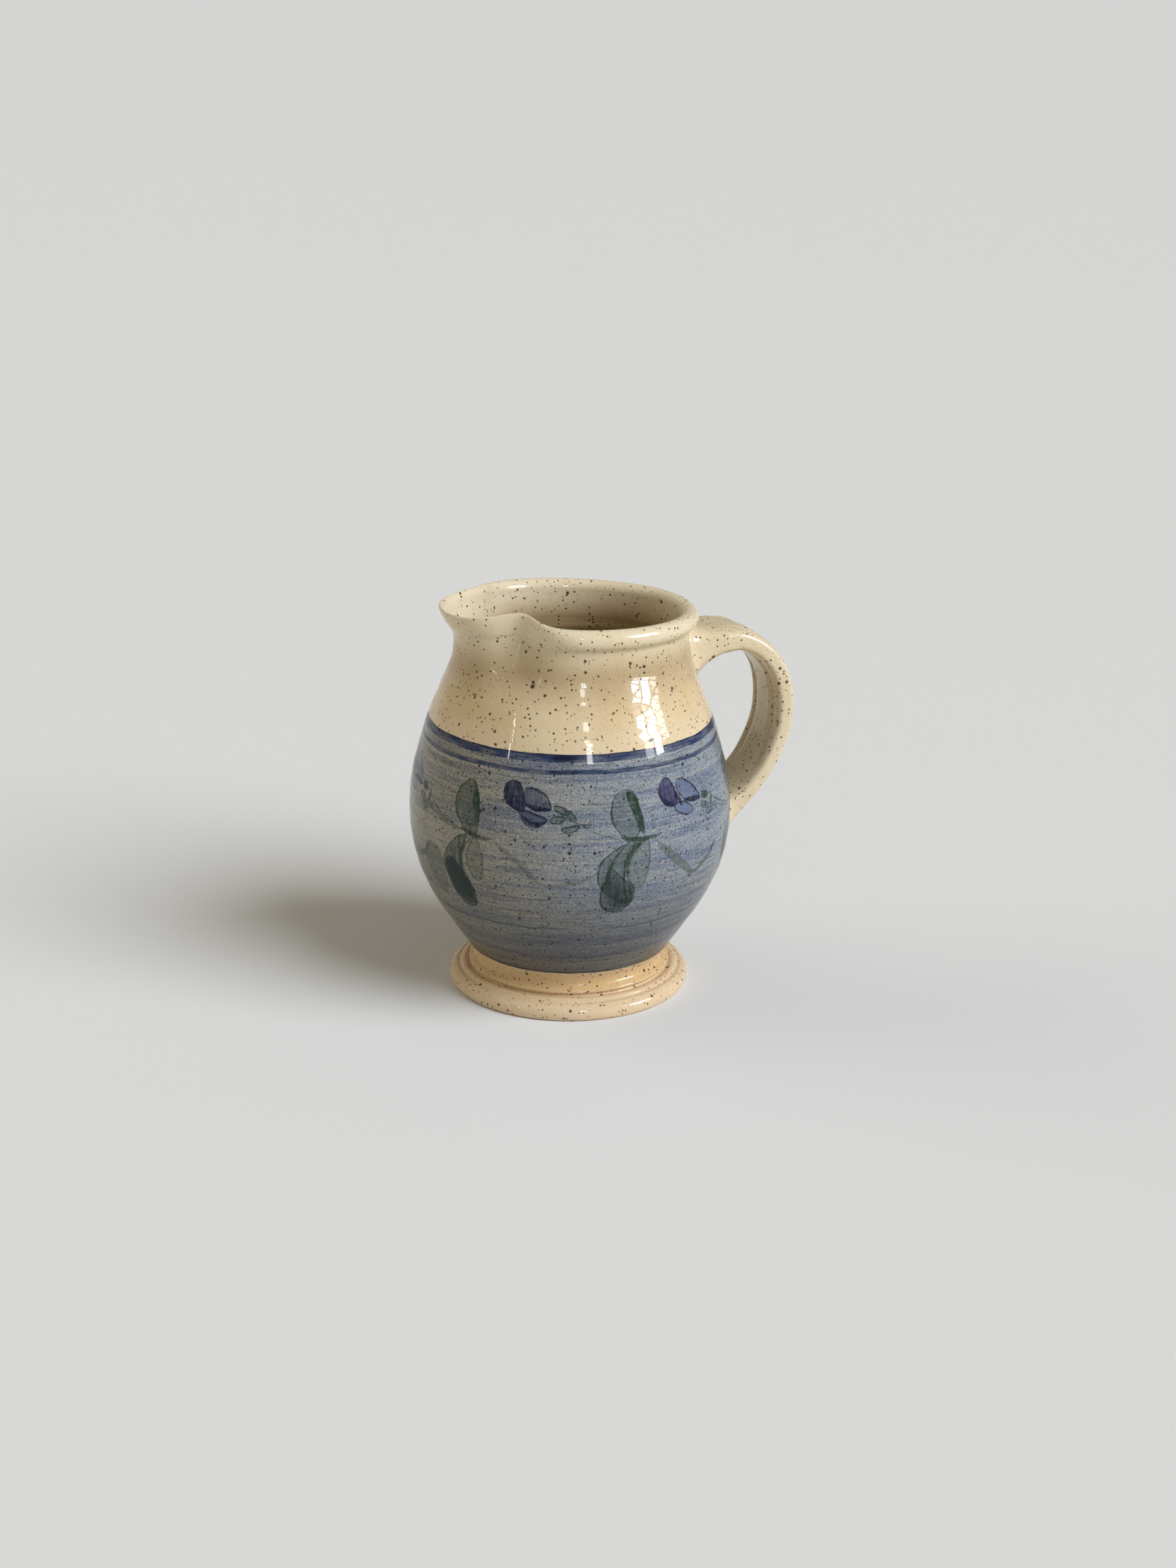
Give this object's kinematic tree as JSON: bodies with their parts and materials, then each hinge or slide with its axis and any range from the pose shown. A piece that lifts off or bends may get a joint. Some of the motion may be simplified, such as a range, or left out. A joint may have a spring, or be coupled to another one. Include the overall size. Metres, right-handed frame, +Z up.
{
  "type": "ceramic pitcher",
  "caption": "Hand-thrown stoneware pitcher with a pulled spout, a strap handle and a flanged foot ring, brush-painted with blue and green plants.",
  "frame": {"origin": "centre of the bounding box in plan, on the plane the foot ring stands on", "axes": "+Z up along the turning axis, +X towards the handle, so the spout points to -X, and +Y to the left of someone who looks from the handle towards the spout"},
  "size_m": [0.173, 0.1422, 0.1786],
  "materials": {
    "slip_glaze": "glossy",
    "cream_glaze": "glossy",
    "foot_glaze": "glossy"
  },
  "bodies": {
    "root": {"thrown_body": "slip_glaze", "foot_ring": "foot_glaze", "strap_handle": "cream_glaze"}
  },
  "joints": []
}
